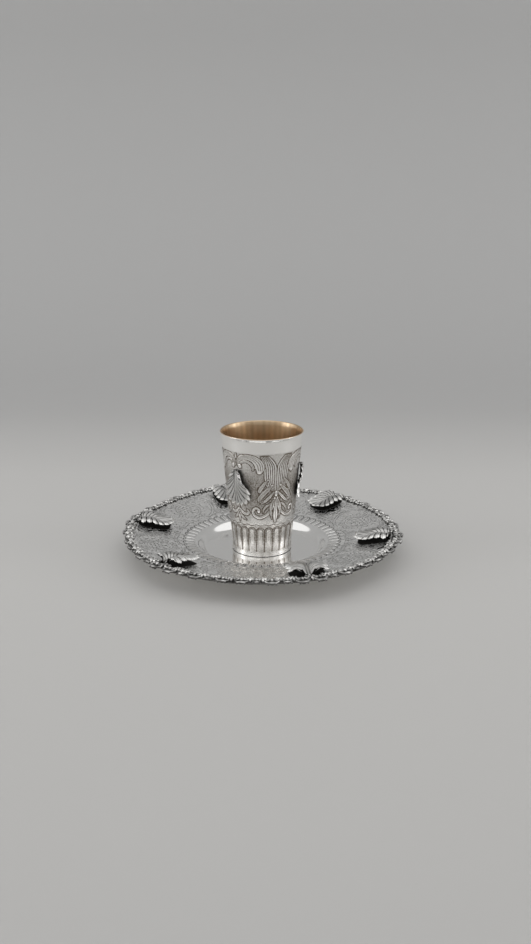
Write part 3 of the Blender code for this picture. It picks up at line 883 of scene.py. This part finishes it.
wall_levels = np.concatenate(
    [
        np.array([0.0, 0.3, 0.6, 1.0, 1.4, 1.8, 2.1, 2.4, 2.8, 3.2]),
        np.linspace(3.6, 17.0, 16),
        np.linspace(17.4, 22.0, 12),
        np.linspace(22.4, 73.6, 134),
        [74.5, 76.0, 78.0, 79.2, 80.2, 81.0, 81.8, 82.4],
    ]
) * MM
level_at, turn_at = np.meshgrid(
    wall_levels[::-1], np.linspace(0, 2 * math.pi, CUP_COLUMNS, endpoint=False), indexing="ij"
)
leaf_turns = sorted(math.radians(azimuth) % (2 * math.pi) for azimuth in CUP_LEAF_AZIMUTHS)
bay_round = np.zeros_like(turn_at)
for start, end in zip(leaf_turns, leaf_turns[1:] + [leaf_turns[0] + 2 * math.pi]):
    past, half = (turn_at - start) % (2 * math.pi), (end - start) / 2
    bay_round = np.where(past < end - start, np.abs(past - half) / half, bay_round)
raised, grooved = chase_bay(bay_round * HALF_BAY, level_at)
ground = smooth((level_at - CHASED_FROM) / (2 * MM)) * smooth((CHASED_TO - level_at) / (0.6 * MM))

tongue_phase = ((turn_at - TONGUE_TURN) * TONGUES / (2 * math.pi)) % 1 - 0.5
tongue_half = math.pi / TONGUES * wall_radius(level_at)
inside_by = petal(np.abs(tongue_phase) * 2 * tongue_half, level_at, tongue_half, TONGUE_SPRING, 0.1 * MM)
tongue_foot = smooth((level_at - 2.9 * MM) / (0.8 * MM)) * (level_at < TONGUE_END)
swell = 1 - (1 - np.clip(inside_by / (1.2 * MM), 0, 1)) ** 2
upper_part = smooth((level_at - 5 * MM) / (8 * MM))
double_line = upper_part * groove(inside_by - 0.95 * MM, 0.3 * MM)
outline = groove(inside_by, 0.32 * MM) * (0.45 + 0.55 * upper_part)
tongues = tongue_foot * (0.2 * swell - 0.06 * double_line - 0.1 * outline)
wave_line = groove(level_at - WAVE_LEVEL + 0.35 * MM * np.cos(2 * math.pi * tongue_phase), 0.3 * MM)
cup_relief = (tongues - 0.12 * wave_line - 0.05 * groove(level_at - RING_LEVEL, 0.3 * MM)) * MM
cup_relief += (raised - CHASED_DEPTH * grooved - MATTED_DEPTH) * ground
wall = wall_radius(level_at) + cup_relief

lip = np.array([(27.3, 82.85), (27.5, 82.97), (27.75, 83.0), (27.95, 82.92), (28.08, 82.7)]) * MM
bore = np.array(
    [(8.0, 2.2), (14.0, 2.2), (17.2, 2.25), (18.3, 2.7), (18.95, 3.8), (19.3, 8.0), (20.3, 19.0),
     (21.0, 21.5), (21.7, 24.8), (25.8, 73.0), (26.4, 79.6), (26.65, 81.0), (27.1, 82.5)]
) * MM
below = np.array([(20.3, 0.0), (18.7, 0.0), (18.4, 0.2), (18.2, 1.2), (10.0, 1.2)]) * MM
cup_points = np.vstack(
    [
        [[0, 0, cup_foot + bore[0, 1]]],
        turned_line(bore, CUP_COLUMNS, cup_foot),
        turned_line(lip, CUP_COLUMNS, cup_foot),
        turned(wall, level_at + cup_foot, CUP_COLUMNS),
        turned_line(below, CUP_COLUMNS, cup_foot),
        [[0, 0, cup_foot + below[-1, 1]]],
    ]
)
cup_rings = len(bore) + len(lip) + len(wall_levels) + len(below)
cup_faces = [
    pole_faces(CUP_COLUMNS, 1, 0, True),
    ring_faces(cup_rings, CUP_COLUMNS, 1),
    pole_faces(CUP_COLUMNS, 1 + (cup_rings - 1) * CUP_COLUMNS, len(cup_points) - 1, False),
]
wall_tarnish_and_shade = np.clip((blurred(cup_relief, 3, 3) - cup_relief) / (0.4 * MM), 0, 0.4)
matted = 0.3 + 0.38 * smooth((66 * MM - level_at) / (14 * MM)) * smooth((level_at - 24 * MM) / (16 * MM))
wall_tarnish_and_shade += ground * (matted * (1 - np.clip(raised / (0.2 * MM), 0, 1)) + 0.9 * grooved)
# Darker towards the foot and over the tongues: partly tarnish, partly painted shade for the darker
# surroundings that the foot mirrors.
foot_tarnish_and_shade = smooth((8 * MM - level_at) / (6 * MM))
wall_tarnish_and_shade += foot_tarnish_and_shade * (0.28 + 0.12 * np.sin(9 * turn_at) * np.sin(14 * turn_at + 1))
wall_tarnish_and_shade += tongue_foot * (0.9 * outline + 0.7 * double_line + 0.28) + 0.8 * wave_line
around = np.linspace(0, 2 * math.pi, CUP_COLUMNS, endpoint=False)
# Painted reflection: soft upright streaks round the gilt inside, which also vary its roughness.
painted_reflection_streaks = 0.2 + 0.1 * sum(np.sin(waves * around + shift) for waves, shift in ((7, 0), (17, 1), (41, 2)))
cup_tarnish_and_painted_light = np.concatenate(
    [
        [0.2],
        np.tile(painted_reflection_streaks, len(bore)),
        np.zeros(len(lip) * CUP_COLUMNS),
        np.clip(wall_tarnish_and_shade, 0, 1).ravel(),
        np.full(len(below) * CUP_COLUMNS + 1, 0.2),
    ]
)
gilt_faces = (len(bore) + len(lip)) * CUP_COLUMNS
cup_indices = np.zeros(sum(len(group) for group in cup_faces), int)
cup_indices[:gilt_faces] = 1
chased_silver = silver("chased_silver", (0.96, 0.95, 0.93), (0.12, 0.09, 0.06), 0.1, 0.55, 1.1, 0.75 * MM)
gilding = silver("gilding", (0.66, 0.50, 0.335), (0.26, 0.17, 0.09), 0.3, 0.5, 0.12, 1.2 * MM)
finishes = [chased_silver, gilding]
cup = make_piece("cup_chased_wall", cup_points, cup_faces, finishes, cup_tarnish_and_painted_light, cup_indices)
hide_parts("cup_beaker")
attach(cup, "root")

# The cup's leaves lie on the finished wall, so they are made after it.
shape, deep = leaf_sheet(
    FAN_EDGE, CUP_LEAF_TOP - CUP_LEAF_BOTTOM, CUP_LEAF_HALF_WIDTH, CUP_LEAF_LIFT, CUP_LEAF_ARCH
)
leaf_top_radius = float(wall_radius(CUP_LEAF_TOP))
shape[:, :, 2] -= 0.65 * (leaf_top_radius - np.sqrt(leaf_top_radius**2 - shape[:, :, 0] ** 2))
for number, azimuth in enumerate(CUP_LEAF_AZIMUTHS, 1):
    turn = math.radians(azimuth)
    place = leaf_place(
        turn,
        (leaf_top_radius, CUP_LEAF_TOP + cup_foot),
        (float(wall_radius(CUP_LEAF_BOTTOM)), CUP_LEAF_BOTTOM + cup_foot),
        (math.cos(turn), math.sin(turn), 0),
    )
    make_leaf(f"cup_leaf_{number}", place, shape, deep)


# ---------------------------------------------------------------------------------------------------
# The studio
# A pale sweep of card under and behind the set, with painted light that makes it palest under the
# saucer, lifting the saucer's shadow, and painted shade that makes it darker in front and behind; a
# broad soft light above it and a softer one to each side; a dim screen for the rest of the room; and the
# camera a little above the cup's mouth, looking down.

SWEEP_FRONT = -2.2
SWEEP_BEND = 0.42
SWEEP_RADIUS = 0.5
SWEEP_HEIGHT = 2.4
SWEEP_HALF_WIDTH = 2.0
PALEST_WITHIN = 0.06
PALER_WITHIN = 0.104
CAMERA_PLACE = (0.0025, -0.576, 0.2265)
CAMERA_DOWN = math.radians(16.47)


def sweep_profile():
    """The card's line from front to back: flat, a quarter round, then upright."""
    turn = np.linspace(0, math.pi / 2, 25)
    bend = np.stack([SWEEP_BEND + SWEEP_RADIUS * np.sin(turn), SWEEP_RADIUS * (1 - np.cos(turn))], -1)
    flat = np.stack([np.linspace(SWEEP_FRONT, SWEEP_BEND, 12), np.zeros(12)], -1)
    return np.vstack([flat[:-1], bend, [(SWEEP_BEND + SWEEP_RADIUS, SWEEP_HEIGHT)]])


profile = sweep_profile()
sides = np.array([-SWEEP_HALF_WIDTH, SWEEP_HALF_WIDTH])
sweep_points = np.stack(
    [np.tile(sides, len(profile)), np.repeat(profile[:, 0], 2), np.repeat(profile[:, 1], 2)], -1
)

# The card carries painted shade as far as the attribute hollow says, and painted light that makes it
# paler the nearer it lies to the set's middle, lifting the saucer's shadow.
card = bpy.data.materials.new("pale_card")
card.use_nodes = True
tree = card.node_tree
shaded = add_node(tree, "Attribute", {}, attribute_name="hollow").outputs["Fac"]
shade = mixed(tree, shaded, (0.57, 0.565, 0.555, 1), (0.41, 0.41, 0.41, 1))
spot = add_node(tree, "TexCoord", {}).outputs["Object"]
distance = add_node(tree, "VectorMath", {0: spot}, operation="LENGTH").outputs["Value"]
paler = ramp(tree, distance, PALEST_WITHIN, PALER_WITHIN, 1, 0, interpolation_type="SMOOTHSTEP")
card_finish = {"Base Color": mixed(tree, paler, shade, (0.95, 0.94, 0.92, 1)), "Roughness": 0.6}
fill(tree, tree.nodes["Principled BSDF"], card_finish)
depth = sweep_points[:, 1]
# Painted shade on the card: darker towards the front and up the back.
shading = np.maximum(smooth((depth - 0.1) / 0.5), 0.7 * smooth((-0.1 - depth) / 0.5))
sweep = make_piece("sweep", sweep_points, [sheet_faces(len(profile), 2)], [card], shading)


def soft_light(name, place, target, size, power):
    """An oblong area light at a place, aimed at a target."""
    data = bpy.data.lights.new(name, "AREA")
    data.shape = "RECTANGLE"
    data.size, data.size_y = size
    data.energy = power
    light = bpy.data.objects.new(name, data)
    bpy.context.scene.collection.objects.link(light)
    light.location = place
    aim = np.array(place) - np.array(target)
    flat = math.hypot(aim[0], aim[1])
    light.rotation_euler = (math.atan2(flat, aim[2]), 0, math.atan2(aim[1], aim[0]) + math.pi / 2)


soft_light("overhead", (0.0, -0.25, 1.5), (0, 0, 0), (1.6, 1.2), 2.0)
soft_light("left_side", (-1.4, -0.2, 0.45), (0, 0, 0.05), (0.4, 0.9), 2.8)
soft_light("right_side", (1.4, -0.2, 0.45), (0, 0, 0.05), (0.4, 0.9), 2.4)

# The dim side of the room behind the camera, which the foot of the cup mirrors.
screen = bpy.data.materials.new("screen")
screen.use_nodes = True
tree = screen.node_tree
fill(tree, tree.nodes["Principled BSDF"], {"Base Color": (0.75, 0.74, 0.72, 1), "Roughness": 0.9})
corners = [(-1.3, -1.0, 0.12), (1.3, -1.0, 0.12), (1.3, -1.0, 0.8), (-1.3, -1.0, 0.8)]
room_side = make_piece("room_side", corners, [np.array([[3, 2, 1, 0]])], [screen], np.zeros(4))

world = bpy.data.worlds.new("room")
world.use_nodes = True
tree = world.node_tree
fill(tree, tree.nodes["Background"], {"Color": (1.0, 0.995, 0.985, 1), "Strength": 0.9})
bpy.context.scene.world = world
bpy.context.scene.view_settings.view_transform = "Standard"

camera_data = bpy.data.cameras.new("camera")
camera_data.sensor_width = 36
camera_data.lens = 33.8
camera = bpy.data.objects.new("camera", camera_data)
bpy.context.scene.collection.objects.link(camera)
camera.location = CAMERA_PLACE
camera.rotation_euler = (math.pi / 2 - CAMERA_DOWN, 0, 0)
bpy.context.scene.camera = camera

bpy.context.view_layer.update()
